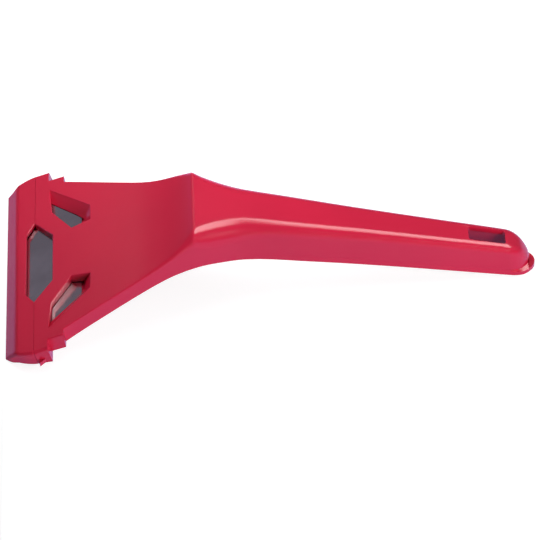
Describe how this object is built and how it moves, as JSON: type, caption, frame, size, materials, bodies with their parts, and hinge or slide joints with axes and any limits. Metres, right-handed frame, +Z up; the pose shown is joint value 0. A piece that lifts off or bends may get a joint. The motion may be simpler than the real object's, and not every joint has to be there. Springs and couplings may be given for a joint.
{
  "type": "window scraper",
  "caption": "Moulded plastic window scraper with a fan-shaped head, a wide steel blade seen through openings and a clip-on blade guard.",
  "frame": {"origin": "centre of the bounding box's underside, on the surface the scraper lies on", "axes": "+X from the blade to the tail of the handle, +Y across the head, +Z up"},
  "size_m": [0.2284, 0.1134, 0.0424],
  "materials": {
    "handle_plastic": "moulded, soft gloss, red",
    "blade_steel": "ground, dark grey, oiled",
    "guard_plastic": "moulded, soft gloss, red"
  },
  "bodies": {
    "handle": {"handle": "handle_plastic"},
    "blade": {"blade": "blade_steel"},
    "blade_guard": {"blade_guard": "guard_plastic"}
  },
  "joints": [
    {"name": "blade_slide", "type": "slide", "parent": "handle", "child": "blade", "axis": [-0.9622, 0, -0.2723], "range_m": [0, 0.035]},
    {"name": "guard_slide", "type": "slide", "parent": "blade", "child": "blade_guard", "axis": [-0.9622, 0, -0.2723], "range_m": [0, 0.02]}
  ]
}
